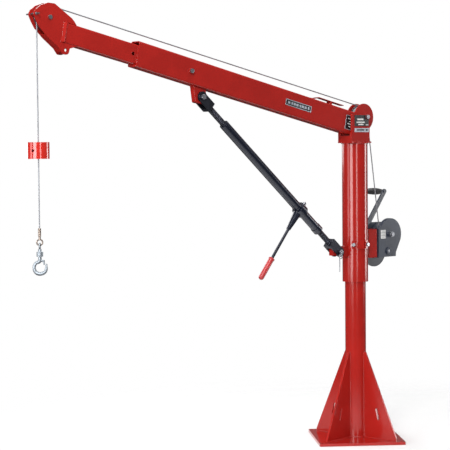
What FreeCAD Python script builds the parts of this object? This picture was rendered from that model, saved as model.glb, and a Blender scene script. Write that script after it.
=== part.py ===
import FreeCAD, Part
import math
import os
import Sketcher

# Swivelling jib crane with a hand winch: a gusseted post, a turning sleeve, a
# telescopic boom, a ratchet strut and a hook on a wire rope. Millimetres.
# X runs from the post to the hook, Y across the boom, Z up from the floor.

os.makedirs("parts", exist_ok=True)
doc = FreeCAD.newDocument("jib_crane")
sheet = doc.addObject("Spreadsheet::Sheet", "Dims")

DIMENSIONS = [
    ("base_thick", 12.0), ("base_bolt_dia", 14.0), ("gusset_thick", 8.0), ("mast_dia", 90.0),
    ("mast_bore", 80.0), ("mast_length", 1268.0), ("bush_length", 40.0), ("sleeve_dia", 111.0),
    ("sleeve_bore", 99.0), ("sleeve_length", 600.0), ("sleeve_foot", 688.0), ("head_plate_thick", 6.0),
    ("cheek_thick", 8.0), ("pivot_dia", 14.0), ("head_axle_dia", 10.0), ("tail_thick", 5.0),
    ("boom_width", 50.0), ("boom_depth", 100.0), ("boom_wall", 4.0), ("boom_angle", 12.2),
    ("jib_width", 40.0), ("jib_depth", 76.0), ("jib_wall", 3.0), ("jib_length", 1006.0),
    ("jib_angle", 11.7), ("head_cheek_thick", 6.0), ("sheave_dia", 99.0), ("sheave_width", 24.0),
    ("rope_radius", 45.2), ("rope_dia", 4.8), ("screw_dia", 25.0), ("barrel_dia", 38.5), ("ear_thick", 8.0),
    ("pin_dia", 12.0), ("rod_dia", 12.7), ("grip_dia", 23.0), ("weight_dia", 80.5), ("weight_height", 60.4),
    ("drum_coil_radius", 28.4), ("cover_radius", 70.5), ("cover_depth", 16.0), ("shaft_dia", 16.0),
    ("disc_dia", 146.0), ("disc_thick", 6.0), ("crank_thick", 8.0),
]
for row, (alias, value) in enumerate(DIMENSIONS, start=1):
    sheet.set(f"A{row}", alias)
    sheet.set(f"B{row}", str(value))
    sheet.setAlias(f"B{row}", alias)
doc.recompute()

V = FreeCAD.Vector
ROT = FreeCAD.Rotation
AXIS_X = V(1, 0, 0)
AXIS_Y = V(0, 1, 0)
AXIS_Z = V(0, 0, 1)
UPRIGHT = ROT(AXIS_Z, 0)
TO_Y = ROT(AXIS_X, -90)
TO_X = ROT(AXIS_Y, 90)
nodes = []


def dim(alias):
    return float(sheet.get(alias))


def place(x=0.0, y=0.0, z=0.0, turn=UPRIGHT):
    return FreeCAD.Placement(V(x, y, z), turn)


def drive(obj, prop, value, divide=1):
    if isinstance(value, str):
        obj.setExpression(prop, f"Dims.{value} / {divide}")
    else:
        setattr(obj, prop, value / divide)


def cylinder(name, dia, length, at, turn=UPRIGHT):
    obj = doc.addObject("Part::Cylinder", name)
    drive(obj, "Radius", dia, 2)
    drive(obj, "Height", length)
    obj.Placement = FreeCAD.Placement(V(*at), turn)
    return obj


def cone(name, dia_low, dia_high, length, at, turn=UPRIGHT):
    obj = doc.addObject("Part::Cone", name)
    obj.Radius1 = dia_low / 2
    obj.Radius2 = dia_high / 2
    drive(obj, "Height", length)
    obj.Placement = FreeCAD.Placement(V(*at), turn)
    return obj


def torus(name, ring, thick, at, turn=UPRIGHT):
    obj = doc.addObject("Part::Torus", name)
    obj.Radius1 = ring
    obj.Radius2 = thick
    obj.Placement = FreeCAD.Placement(V(*at), turn)
    return obj


def sphere(name, dia, at):
    obj = doc.addObject("Part::Sphere", name)
    obj.Radius = dia / 2
    obj.Placement = place(*at)
    return obj


def box(name, size, at, turn=UPRIGHT):
    obj = doc.addObject("Part::Box", name)
    drive(obj, "Length", size[0])
    drive(obj, "Width", size[1])
    drive(obj, "Height", size[2])
    obj.Placement = FreeCAD.Placement(V(*at), turn)
    return obj


def cut(name, base, tools):
    obj = doc.addObject("Part::Cut", name)
    obj.Base = base
    obj.Tool = tools[0] if len(tools) == 1 else group(name + "_tools", tools)
    return obj


def fuse(name, pieces):
    obj = doc.addObject("Part::MultiFuse", name)
    obj.Shapes = pieces
    obj.Refine = True
    return obj


def group(name, pieces):
    obj = doc.addObject("Part::Compound", name)
    obj.Links = pieces
    return obj


def hex_prism(name, flats, height, at, turn=UPRIGHT):
    obj = doc.addObject("Part::Prism", name)
    obj.Polygon = 6
    obj.Circumradius = flats / math.sqrt(3)
    obj.Height = height
    obj.Placement = FreeCAD.Placement(V(*at), turn)
    return obj


def rounded_edges(corners):
    # corners are (x, y) or (x, y, radius); a radius rounds that corner
    starts = []
    count = len(corners)
    for index, corner in enumerate(corners):
        here = V(corner[0], corner[1], 0)
        radius = corner[2] if len(corner) > 2 else 0.0
        before = V(*corners[index - 1][:2], 0) - here
        after = V(*corners[(index + 1) % count][:2], 0) - here
        if radius == 0.0:
            starts.append((here, None, here))
            continue
        before.normalize()
        after.normalize()
        half = before.getAngle(after) / 2
        reach = radius / math.tan(half)
        middle = before + after
        middle.normalize()
        centre = here + middle * (radius / math.sin(half))
        starts.append((here + before * reach, centre - middle * radius, here + after * reach))
    edges = []
    for index, (enter, bend, leave) in enumerate(starts):
        if bend is not None:
            edges.append(Part.Arc(enter, bend, leave))
        following = starts[(index + 1) % count][0]
        if (following - leave).Length > 1e-6:
            edges.append(Part.LineSegment(leave, following))
    return edges


def profile(name, plane, loops, depth):
    # a padded sketch; XZ_Plane pads toward -Y, XY_Plane toward +Z, YZ_Plane toward +X
    body = doc.addObject("PartDesign::Body", name)
    sketch = body.newObject("Sketcher::SketchObject", name + "_sketch")
    support = [item for item in body.Origin.OriginFeatures if item.Role == plane][0]
    sketch.AttachmentSupport = [(support, "")]
    sketch.MapMode = "FlatFace"
    for loop in loops:
        if loop[0] == "circle":
            _, x, y, dia = loop
            size = dim(dia) if isinstance(dia, str) else dia
            index = sketch.addGeometry(Part.Circle(V(x, y, 0), AXIS_Z, size / 2), False)
            number = sketch.addConstraint(Sketcher.Constraint("Diameter", index, size))
            if isinstance(dia, str):
                sketch.setExpression(f"Constraints[{number}]", f"Dims.{dia}")
            continue
        for edge in rounded_edges(loop):
            sketch.addGeometry(edge, False)
    pad = body.newObject("PartDesign::Pad", name + "_pad")
    pad.Profile = sketch
    drive(pad, "Length", depth)
    body.Tip = pad
    return body


def plate_y(name, loops, depth, y_top):
    body = profile(name, "XZ_Plane", loops, depth)
    body.Placement = place(0, y_top, 0)
    return body


def pair_y(name, loops, depth, y_outer):
    # two equal plates either side of the mid-plane, outer faces at +y_outer and -y_outer
    thick = dim(depth) if isinstance(depth, str) else depth
    near = plate_y(name + "_near", loops, depth, y_outer)
    far = plate_y(name + "_far", loops, depth, thick - y_outer)
    return [near, far]


def ring(name, dia_out, dia_in, length, at, turn=UPRIGHT):
    body = profile(name, "XY_Plane", [("circle", 0, 0, dia_out), ("circle", 0, 0, dia_in)], length)
    body.Placement = FreeCAD.Placement(V(*at), turn)
    return body


def node(name, obj, frame=None):
    obj.Label = name
    if frame is not None:
        obj.Placement = frame
    nodes.append(obj)
    return obj


def bolt_y(name, dia, y_far, y_near, head, head_high, x, z, nut=True):
    shank = cylinder(name + "_shank", dia, y_near - y_far, (x, y_far, z), TO_Y)
    pieces = [shank, hex_prism(name + "_head", head, head_high, (x, y_near - 0.5, z), TO_Y)]
    if nut:
        pieces.append(hex_prism(name + "_nut", head, head_high, (x, y_far + 0.5 - head_high, z), TO_Y))
    return fuse(name, pieces)


# ------------------------------------------------------------------ foot and post
DIAGONAL = 6.84
mast_foot = dim("base_thick")

plate = profile("base_plate_blank", "XY_Plane", [[(-185, -185, 6), (185, -185, 6), (185, 185, 6),
                                                  (-185, 185, 6)]] + [
    ("circle", 168.3 * a, 168.3 * b, "base_bolt_dia") for a in (-1, 1) for b in (-1, 1)], "base_thick")
node("base_plate", plate, place(0, 0, 0, ROT(AXIS_Z, DIAGONAL + 45)))

gusset_outline = [(44.6, mast_foot), (213, mast_foot), (213, 22), (54, 382.6), (44.6, 382.6)]
gusset_slot = [(117, 144, 5), (105, 144, 5), (117, 92, 5), (129, 92, 5)]
gussets = []
for quarter in range(4):
    fin = profile(f"gusset_{quarter}", "XZ_Plane", [gusset_outline, gusset_slot], "gusset_thick")
    fin.Placement = FreeCAD.Placement(V(0, 0, 0), ROT(AXIS_Z, DIAGONAL + 90 * quarter)) * place(0, 4, 0)
    gussets.append(fin)
gusset_core = cylinder("gusset_core", "mast_dia", 400, (0, 0, 5))
node("base_gussets", cut("base_gussets", group("gusset_set", gussets), [gusset_core]))

node("mast_tube", ring("mast_tube", "mast_dia", "mast_bore", "mast_length", (0, 0, mast_foot)))
bush_low = ring("bush_low", 98.9, "mast_dia", "bush_length", (0, 0, 690))
bush_high = ring("bush_high", 98.9, "mast_dia", "bush_length", (0, 0, 1238))
thrust_washer = ring("thrust_washer", 88, 40, 7.95, (0, 0, 1280))
node("swivel_bushes", group("swivel_bushes", [bush_low, bush_high, thrust_washer]))

# ------------------------------------------------------------------ turning column
LOCK_ANGLES = (37.0, 97.0)
LOCK_Z = 850.0
sleeve_blank = ring("sleeve_blank", "sleeve_dia", "sleeve_bore", "sleeve_length", (0, 0, dim("sleeve_foot")))
lock_drills = [cylinder(f"lock_drill_{i}", 10.1, 80, (0, 0, LOCK_Z), ROT(AXIS_Z, a) * TO_X)
               for i, a in enumerate(LOCK_ANGLES)]
node("column_sleeve", cut("column_sleeve", sleeve_blank, lock_drills))

sleeve_top = dim("sleeve_foot") + dim("sleeve_length")
head_plate = profile("head_plate", "XY_Plane", [[(-60, -46, 5), (60, -46, 5), (60, 46, 5), (-60, 46, 5)]],
                     "head_plate_thick")
node("head_plate", head_plate, place(0, 0, sleeve_top))

PX, PZ = -34.7, 1399.9
deck = sleeve_top + dim("head_plate_thick")
cheek = [[(-51, deck), (61, deck), (61, 1412.5, 6), (-51, 1412.5, 6)], ("circle", PX, PZ, "pivot_dia")]
node("pivot_cheeks", group("pivot_cheeks", pair_y("pivot_cheek", cheek, "cheek_thick", 41)))
web = profile("front_web", "YZ_Plane", [[(-32.9, deck), (32.9, deck), (32.9, 1335), (26.8, 1335),
                                         (26.8, 1319.5, 4), (-26.8, 1319.5, 4), (-26.8, 1335), (-32.9, 1335)]], 5)
node("front_web", web, place(55, 0, 0))
pivot_pin = bolt_y("pivot_pin", "pivot_dia", -42, 41.5, 18, 8, PX, PZ)
spacer_near = ring("spacer_near", 26, "pivot_dia", 7.4, (PX, 25.5, PZ), TO_Y)
spacer_far = ring("spacer_far", 26, "pivot_dia", 7.4, (PX, -32.9, PZ), TO_Y)
node("pivot_bolt", group("pivot_bolt", [pivot_pin, spacer_near, spacer_far]))

LX, LZ = 115.0, 822.0
lug_wall = [[(40, 797), (152, 807), (152, 837), (40, 847)], ("circle", LX, LZ, "pin_dia")]
lug_web = box("lug_web", (6, 20, 30), (146, -10, 807))
lug_bits = pair_y("column_lug_wall", lug_wall, 5, 12) + [lug_web]
sleeve_core = cylinder("sleeve_core", "sleeve_dia", 300, (0, 0, 700))
node("column_strut_lug", cut("column_strut_lug", fuse("column_lug_blank", lug_bits), [sleeve_core]))
lower_pin = bolt_y("lower_pin", "pin_dia", -22, 21.5, 19, 6, LX, LZ)
clip_leg = cylinder("clip_leg", 4, 60, (130, 30, 737))
clip_ring = torus("clip_ring", 9, 2, (124, 30, 803), TO_Y)
clip_bar = cylinder("clip_bar", 4, 20, (LX, 30, LZ), ROT(AXIS_Y, 153))
clip_stub = cylinder("clip_stub", 8, 8, (LX, 26, LZ), TO_Y)
node("lower_strut_pin", fuse("lower_strut_pin", [lower_pin, clip_leg, clip_ring, clip_stub, clip_bar]))

boss_parts = []
lock_names = ("swivel_lock_bolt_1", "swivel_lock_bolt_2")
for i, angle in enumerate(LOCK_ANGLES):
    spin = FreeCAD.Placement(V(0, 0, LOCK_Z), ROT(AXIS_Z, angle))
    block = box(f"lock_block_{i}", (12, 16, 35), (50, -8, -17.5))
    hole = cylinder(f"lock_hole_{i}", 10.1, 60, (30, 0, 0), TO_X)
    inner = cylinder(f"lock_inner_{i}", "sleeve_dia", 60, (0, 0, -30))
    boss = cut(f"lock_boss_{i}", block, [hole, inner])
    boss.Placement = spin
    boss_parts.append(boss)
    shank = cylinder(f"lock_shank_{i}", 10, 20, (45.6, 0, 0), TO_X)
    head = hex_prism(f"lock_head_{i}", 15, 6, (65, 0, 0), TO_X)
    collar = cylinder(f"lock_collar_{i}", 13, 2.8, (62.4, 0, 0), TO_X)
    node(lock_names[i], fuse(lock_names[i], [shank, head, collar]), spin)
pad_block = box("pad_block", (12, 30, 37), (49, -15, -18.5))
pad_core = cylinder("pad_core", "sleeve_dia", 60, (0, 0, -30))
stop_pad = cut("stop_pad", pad_block, [pad_core])
stop_pad.Placement = FreeCAD.Placement(V(0, 0, LOCK_Z), ROT(AXIS_Z, 68.0))
node("swivel_lock_bosses", group("swivel_lock_bosses", boss_parts + [stop_pad]))

decal_black = box("decal_black", (90, 0.6, 48), (-45, 41, 1360))
decal_hole = cylinder("decal_hole", 22, 3, (PX, 40, PZ), TO_Y)
decal_cut = cut("decal_cut", decal_black, [decal_hole])
decal_silver = box("decal_silver", (90, 0.6, 17), (-45, 41, 1335))
winch_decal = box("winch_decal", (32, 0.6, 38), (-158, 36, 868))
node("column_labels", group("column_labels", [decal_cut, decal_silver, winch_decal]))

# ------------------------------------------------------------------ boom
BOOM = FreeCAD.Placement(V(PX, 0, PZ), ROT(AXIS_Y, -dim("boom_angle")))
MOUTH = 1289.7
TUBE_START = 60.0
TOP = 8.2
BOTTOM = TOP - dim("boom_depth")
half = dim("boom_width") / 2
wall = dim("boom_wall")
tube_loops = [[(-half, BOTTOM, 7), (half, BOTTOM, 7), (half, TOP, 7), (-half, TOP, 7)],
              [(-half + wall, BOTTOM + wall, 3), (half - wall, BOTTOM + wall, 3),
               (half - wall, TOP - wall, 3), (-half + wall, TOP - wall, 3)]]
tube = profile("outer_tube_blank", "YZ_Plane", tube_loops, MOUTH - TUBE_START)
tube.Placement = place(TUBE_START, 0, 0)
LOCK_L = 1015.5
LOCK_N = -42.0
lock_drill = cylinder("extension_drill", 10.1, 20, (LOCK_L, 15, LOCK_N), TO_Y)
lock_boss = cylinder("extension_boss", 20, 3.5, (LOCK_L, 24.5, LOCK_N), TO_Y)
lock_drill.Height = 30
node("outer_boom_tube", cut("outer_boom_tube", fuse("tube_and_boss", [tube, lock_boss]), [lock_drill]), BOOM)

LOBE = 58.0
reach = math.hypot(TUBE_START, BOTTOM)
lobe_turn = math.atan2(BOTTOM, TUBE_START) - math.acos(LOBE / reach)
lobe_x = LOBE * math.cos(lobe_turn)
lobe_z = LOBE * math.sin(lobe_turn)
tail_arm = [(lobe_x, lobe_z), (TUBE_START, BOTTOM), (TUBE_START, TOP), (20, TOP), (-10, 0)]
tails = []
for side, y_low in (("near", 20.0), ("far", -25.0)):
    arm = plate_y(f"tail_arm_{side}", [tail_arm], "tail_thick", y_low + dim("tail_thick"))
    lobe = cylinder(f"tail_lobe_{side}", 2 * LOBE, "tail_thick", (0, y_low, 0), TO_Y)
    edge = box(f"tail_edge_{side}", (40, 10, 130), (TUBE_START, y_low - 2, -100))
    bore = cylinder(f"tail_bore_{side}", 14.1, 10, (0, y_low - 2, 0), TO_Y)
    tails.append(cut(f"tail_{side}", fuse(f"tail_blank_{side}", [arm, lobe]), [edge, bore]))
node("tail_plates", group("tail_plates", tails), BOOM)

guard_line = [(123, 22), (276, 22), (312, TOP), (328, TOP), (328, TOP + 2.5), (314, TOP + 2.5),
              (278, 24.5), (123, 24.5)]
guard = plate_y("guard_strap", [guard_line], 24, 12)
guard_post = box("guard_post", (10, 24, 22.2 - TOP), (196, -12, TOP))
node("cable_guard", fuse("cable_guard", [guard, guard_post]), BOOM)

UL, UN = 930.0, -126.0
ear_wall = [[(914, BOTTOM), (904, UN, 8), (912, -150, 14), (954, -154, 8), (978, BOTTOM)],
            ("circle", UL, UN, 32)]
ear_web = plate_y("boom_lug_web", [[(972, BOTTOM), (978, BOTTOM), (956, -150), (950, -150)]], 16, 8)
node("boom_strut_lug", fuse("boom_strut_lug", pair_y("boom_lug_wall", ear_wall, 5, 12) + [ear_web]), BOOM)

pad_low = plate_y("mouth_pad_low", [[(1266.0, BOTTOM + wall), (MOUTH, BOTTOM + wall), (MOUTH, -83.22),
                                     (1266.0, -83.01)]], 36, 18)
node("boom_wear_pad", pad_low, BOOM * place(0, 18, 0))
lock_shank = cylinder("extension_shank", 10, 9, (LOCK_L, 20.6, LOCK_N), TO_Y)
lock_head = hex_prism("extension_head", 17, 7, (LOCK_L, 28.6, LOCK_N), TO_Y)
node("extension_lock_bolt", fuse("extension_lock_bolt", [lock_shank, lock_head]), BOOM)
label_side = box("label_side", (154, 0.6, 26), (328, 25, -54))
label_plate = box("label_plate", (50, 0.6, 62), (62, 25, -75))
node("boom_labels", group("boom_labels", [label_side, label_plate]), BOOM)


def sheave(name, x, z, hole):
    blank = cylinder(name + "_blank", "sheave_dia", "sheave_width", (x, -12, z), TO_Y)
    groove = torus(name + "_groove", dim("rope_radius") + 5.2, 7.8, (x, 0, z), TO_Y)
    dish_near = ring(name + "_dish_near", 74, 34, 8, (x, 6, z), TO_Y)
    dish_far = ring(name + "_dish_far", 74, 34, 8, (x, -14, z), TO_Y)
    bore = cylinder(name + "_bore", hole, 60, (x, -30, z), TO_Y)
    return cut(name, blank, [groove, dish_near, dish_far, bore])


node("rear_sheave", sheave("rear_sheave", PX, PZ, 14.1))

# ------------------------------------------------------------------ sliding jib
JIB_START = -650.0
JIB_END = JIB_START + dim("jib_length")
mouth_point = BOOM.multVec(V(MOUTH, 0, -45.15))
JIB = FreeCAD.Placement(mouth_point, ROT(AXIS_Y, -dim("jib_angle")))
hw = dim("jib_width") / 2
hd = dim("jib_depth") / 2
jw = dim("jib_wall")
jib_loops = [[(-hw, -hd, 6), (hw, -hd, 6), (hw, hd, 6), (-hw, hd, 6)],
             [(-hw + jw, -hd + jw, 3), (hw - jw, -hd + jw, 3), (hw - jw, hd - jw, 3), (-hw + jw, hd - jw, 3)]]
jib = profile("jib_blank", "YZ_Plane", jib_loops, "jib_length")
jib.Placement = place(JIB_START, 0, 0)
jib_hole = cylinder("jib_hole", 14, 10, (18, 14, 0), TO_Y)
node("inner_boom_tube", cut("inner_boom_tube", jib, [jib_hole]), JIB)

HX, HZ = 1642.0, 1751.5


def jib_point(along, up):
    point = JIB.multVec(V(along, 0, up))
    return (point.x, point.z)


KEEP_X = 1703.0
KEEP_Z = 1761.0
cheek_line = [jib_point(283, -hd), jib_point(JIB_END, -hd), jib_point(JIB_END, hd), jib_point(298, hd),
              (1530.4, 1740.5), (1541, 1751), (1597, 1787), (1618, 1801, 10), (1650, 1803, 10), (1680, 1793, 10),
              (1702, 1777, 8), (1712, 1760, 7), (1700, 1735), (1685, 1711), (1649.5, 1677), (1601.5, 1641),
              (1584, 1619, 10), (1560, 1617, 12), (1553, 1640, 4)]
head_holes = [("circle", HX, HZ, "head_axle_dia"), ("circle", 1571.5, 1634.7, 13), ("circle", KEEP_X, KEEP_Z, 6)]
brow_line = [(1661, 1688), (1649.5, 1677), (1601.5, 1641), (1590, 1626.5), (1586.9, 1629), (1598.9, 1644.1),
             (1647, 1680.2), (1658.2, 1690.9)]
head_brow = plate_y("head_brow", [brow_line], 26, 13)
node("head_cheeks", group("head_cheeks", pair_y("head_cheek", [cheek_line] + head_holes,
                                                "head_cheek_thick", 19) + [head_brow]))
node("head_axle_bolt", bolt_y("head_axle_bolt", "head_axle_dia", -20, 19.5, 15, 6, HX, HZ))
keeper = [cylinder("keeper_shank", 6, 76, (KEEP_X, -38, KEEP_Z), TO_Y),
          cylinder("keeper_head", 10, 2.5, (KEEP_X, 19, KEEP_Z), TO_Y),
          hex_prism("keeper_nut", 10, 4, (KEEP_X, -23, KEEP_Z), TO_Y)]
node("cable_keeper", fuse("cable_keeper", keeper))
node("head_sheave", sheave("head_sheave", HX, HZ, 10.1))

# ------------------------------------------------------------------ ratchet strut
upper_pin = BOOM.multVec(V(UL, 0, UN))
strut_angle = math.degrees(math.atan2(upper_pin.z - LZ, upper_pin.x - LX))
strut_length = math.hypot(upper_pin.z - LZ, upper_pin.x - LX)
STRUT = FreeCAD.Placement(V(LX, 0, LZ), ROT(AXIS_Y, -strut_angle))
UPPER_COLLAR = 853.0


def fork(name, eye, direction, bore):
    near_x = eye + direction * 50
    far_x = eye + direction * 66
    pieces = []
    for side, y_low in (("near", 12.4), ("far", -20.4)):
        lobe = cylinder(f"{name}_lobe_{side}", 44, "ear_thick", (eye, y_low, 0), TO_Y)
        arm = box(f"{name}_arm_{side}", (52, "ear_thick", 40), (min(eye, near_x + direction * 2), y_low, -20))
        pieces.append(fuse(f"{name}_ear_{side}", [lobe, arm]))
    pieces.append(box(f"{name}_block", (16, 40.8, 40), (min(near_x, far_x), -20.4, -20)))
    drill = cylinder(name + "_bore", bore, 60, (eye, -30, 0), TO_Y)
    return cut(name + "_head", fuse(name + "_blank", pieces), [drill])


low_head = fork("lower_fork", 0.0, 1, 12.1)
low_screw = cylinder("lower_screw", "screw_dia", 185, (65, 0, 0), TO_X)
node("strut_lower_fork", fuse("strut_lower_fork", [low_head, low_screw]), STRUT)

high_head = fork("upper_fork", strut_length, -1, "pin_dia")
high_screw = cylinder("upper_screw", "screw_dia", strut_length - 65 - 745, (745, 0, 0), TO_X)
node("strut_upper_fork", fuse("strut_upper_fork", [high_head, high_screw]), STRUT)
node("upper_strut_pin", bolt_y("upper_strut_pin", "pin_dia", -22, 21.5, 20, 8, strut_length, 0), STRUT)

barrel_tube = cylinder("barrel_tube", "barrel_dia", UPPER_COLLAR - 150, (150, 0, 0), TO_X)
collar_low = cylinder("collar_low", 43, 25, (150, 0, 0), TO_X)
barrel_bore = cylinder("barrel_bore", 25.14, 900, (100, 0, 0), TO_X)
fitting = cylinder("fitting", 8, 8, (826, 17, 0), TO_Y)
node("strut_barrel", cut("strut_barrel", fuse("barrel_blank", [barrel_tube, collar_low, fitting]), [barrel_bore]),
     STRUT)
side_low = ring("ratchet_side_low", 43, 38.62, 10, (266, 0, 0), TO_X)
side_high = ring("ratchet_side_high", 43, 38.62, 10, (309, 0, 0), TO_X)
node("ratchet_side_rings", group("ratchet_side_rings", [side_low, side_high]), STRUT)

drum_case = cylinder("ratchet_case", 58, 31, (277, 0, 0), TO_X)
down = ROT(AXIS_Y, 180)
pawl_box = cone("pawl_box", 34, 18, 82, (297, 0, -22.3), down)
lever_rod = cylinder("lever_rod", "rod_dia", 252, (297, 0, -98), down)
case_bore = cylinder("ratchet_case_bore", 38.62, 60, (260, 0, 0), TO_X)
knob_drill = cylinder("knob_drill", 8.1, 14, (288, 0, 22), UPRIGHT)
lever = cut("ratchet_lever", fuse("lever_blank", [drum_case, pawl_box, lever_rod]), [case_bore, knob_drill])
node("ratchet_handle", lever, STRUT)
grip_tube = cylinder("grip_tube", "grip_dia", 94, (297, 0, -260), down)
grip_end = sphere("grip_end", 23, (297, 0, -352))
grip_lip = cylinder("grip_lip", 27, 5, (297, 0, -257), down)
grip_bore = cylinder("grip_bore", "rod_dia", 100, (297, 0, -250), down)
node("handle_grip", cut("handle_grip", fuse("grip_blank", [grip_tube, grip_end, grip_lip]), [grip_bore]), STRUT)
knob_stem = cylinder("knob_stem", 8, 11, (288, 0, 23.5), UPRIGHT)
knob_cap = cylinder("knob_cap", 16, 8, (288, 0, 31), UPRIGHT)
knob_top = sphere("knob_top", 14, (288, 0, 38))
node("pawl_knob", fuse("pawl_knob", [knob_stem, knob_cap, knob_top]), STRUT)

# ------------------------------------------------------------------ hand winch
DX, DZ = -191.0, 885.5
KX, KZ = -179.0, 812.7
channel_wall = [[(-50, 788), (-100, 788), (-100, 912), (-50, 912)]]
channel_back = box("channel_back", (6, 70, 124), (-102, -35, 788))
channel = fuse("channel_blank", pair_y("channel_wall", channel_wall, 6, 35) + [channel_back])
node("winch_bracket", cut("winch_bracket", channel, [cylinder("channel_core", "sleeve_dia", 300, (0, 0, 700))]))

frame_back = box("frame_back", (4, 59, 132), (-106, -41, 784))
near_side = [[(-106, 784), (-106, 916, 4), (-160, 925, 12), (-232, 915, 30), (-232, 850, 30), (-200, 786, 12)],
             ("circle", DX, DZ, 25), ("circle", KX, KZ, 16.1)]
far_side = [[(-106, 784), (-106, 916, 4), (-150, 938, 20), (-232, 938, 40), (-252, 880, 40), (-210, 788, 12)],
            ("circle", DX, DZ, "shaft_dia"), ("circle", KX, KZ, 16.1), ("circle", -150, 855, 8)]
frame_near = plate_y("frame_near", near_side, 4, 18)
frame_far = plate_y("frame_far", far_side, 4, -37)
pawl_stud = cylinder("pawl_stud", 8, 10.7, (-150, -46.7, 855), TO_Y)
node("winch_frame", fuse("winch_frame", [frame_back, frame_near, frame_far, pawl_stud]))


def cover_line(inset):
    # a round top about the drum, a straight back edge and a flat foot
    radius = dim("cover_radius") - inset
    points = [(-113 - inset, 787 + inset), (-225.5 + inset, 787 + inset), (-227 + inset, 805)]
    for step in range(29):
        angle = math.radians(203 - 168 * step / 28)
        points.append((DX + radius * math.cos(angle), DZ + radius * math.sin(angle)))
    points.append((-113 - inset, 914))
    return points


cover_outer = plate_y("cover_outer", [cover_line(0)], "cover_depth", 36)
cover_inner = plate_y("cover_inner", [cover_line(2)], 14.5, 34)
cover_drum_hole = cylinder("cover_drum_hole", "shaft_dia", 20, (DX, 25, DZ), TO_Y)
cover_pinion_hole = cylinder("cover_pinion_hole", 16.1, 30, (KX, 25, KZ), TO_Y)
cover_boss = cylinder("cover_boss", 34, 6, (KX, 35, KZ), TO_Y)
cover_skin = cut("cover_skin", fuse("cover_blank", [cover_outer, cover_boss]), [cover_inner])
node("gear_cover", cut("gear_cover", cover_skin, [cover_drum_hole, cover_pinion_hole]))

axle = cylinder("axle_shaft", "shaft_dia", 91, (DX, -45, DZ), TO_Y)
axle_nut = hex_prism("axle_nut", 22, 9, (DX, 36, DZ), TO_Y)
axle_tip = cylinder("axle_tip", 18, 7, (DX, 45, DZ), TO_Y)
node("drum_axle", fuse("drum_axle", [axle, axle_nut, axle_tip]))

drum_core = cylinder("drum_core", 44, 45, (DX, -34, DZ), TO_Y)
drum_rim_far = cylinder("drum_rim_far", 96, 3, (DX, -35.5, DZ), TO_Y)
drum_rim_near = cylinder("drum_rim_near", 96, 3, (DX, 9.5, DZ), TO_Y)
drum_bore = cylinder("drum_bore", 16.1, 100, (DX, -50, DZ), TO_Y)
node("cable_drum", cut("cable_drum", fuse("drum_blank", [drum_core, drum_rim_far, drum_rim_near]), [drum_bore]))
coils = [torus(f"coil_{i}", 26, 2.4, (DX, -29.0 + 4.9 * i, DZ), TO_Y) for i in range(8)]
coil_bed = cylinder("coil_bed", 50.2, 41, (DX, -32, DZ), TO_Y)
coil_bore = cylinder("coil_bore", 44, 60, (DX, -40, DZ), TO_Y)
node("wound_cable", cut("wound_cable", fuse("coil_blank", [coil_bed] + coils), [coil_bore]))


def gear_outline(x, z, teeth, radius_root, radius_tip):
    points = []
    for tooth in range(teeth):
        for share, radius in ((0.0, radius_root), (0.25, radius_root), (0.4, radius_tip), (0.6, radius_tip),
                              (0.75, radius_root)):
            angle = 2 * math.pi * (tooth + share) / teeth
            points.append((x + radius * math.cos(angle), z + radius * math.sin(angle)))
    return points


gear_blank = plate_y("drum_gear_blank", [gear_outline(DX, DZ, 62, 58.6, 61.5)], 8, 29)
gear_hub = cylinder("drum_gear_hub", 24, 17, (DX, 12.5, DZ), TO_Y)
near_bore = cylinder("gear_bore", 16.1, 40, (DX, 5, DZ), TO_Y)
node("drum_gear", cut("drum_gear", fuse("drum_gear_full", [gear_blank, gear_hub]), [near_bore]))

shaft = cylinder("pinion_shaft_bar", "shaft_dia", 211, (KX, -172, KZ), TO_Y)
pinion = plate_y("pinion_blank", [gear_outline(KX, KZ, 12, 9.5, 12.0)], 8, 29)
node("pinion_shaft", fuse("pinion_shaft", [shaft, pinion]))
disc_blank = cylinder("disc_blank", "disc_dia", "disc_thick", (KX, -53, KZ), TO_Y)
disc_hub = cylinder("disc_hub", 40, 24, (KX, -77, KZ), TO_Y)
disc_bore = cylinder("disc_bore", "shaft_dia", 60, (KX, -90, KZ), TO_Y)
wheel = plate_y("pawl_wheel", [gear_outline(KX, KZ, 14, 19, 24)], 4.5, -42.5)
node("brake_disc", cut("brake_disc", fuse("disc_full", [disc_blank, disc_hub, wheel]), [disc_bore]))

TIP_X, TIP_Z = -376.0, 1066.0
arm_angle = math.degrees(math.atan2(TIP_Z - KZ, TIP_X - KX))
arm_length = math.hypot(TIP_Z - KZ, TIP_X - KX)
CRANK = FreeCAD.Placement(V(KX, -161, KZ), ROT(AXIS_Y, -arm_angle))
arm_loop = [(-17, -13, 8), (-17, 13, 8), (arm_length + 12, 10, 9), (arm_length + 12, -10, 9)]
arm = profile("crank_blank", "XZ_Plane", [arm_loop, ("circle", 0, 0, "shaft_dia"),
                                          ("circle", arm_length, 0, 9.9)], "crank_thick")
spindle = cylinder("grip_spindle_bar", 9.9, 124, (arm_length, -127, 0), TO_Y)
spindle_head = hex_prism("grip_spindle_head", 17, 6, (arm_length, -4, 0), TO_Y)
spindle_end = cylinder("grip_spindle_end", 18, 4, (arm_length, -131, 0), TO_Y)
node("crank_arm", fuse("crank_arm", [arm, spindle, spindle_head, spindle_end]), CRANK)
grip_a = cone("grip_a", 20, 31, 45, (arm_length, -121, 0), TO_Y)
grip_b = cylinder("grip_b", 31, 20, (arm_length, -77, 0), TO_Y)
grip_c = cone("grip_c", 31, 18, 46, (arm_length, -58, 0), TO_Y)
grip_hole = cylinder("grip_hole", 10.0, 140, (arm_length, -130, 0), TO_Y)
node("crank_grip", cut("crank_grip", fuse("crank_grip_full", [grip_a, grip_b, grip_c]), [grip_hole]), CRANK)
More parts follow.
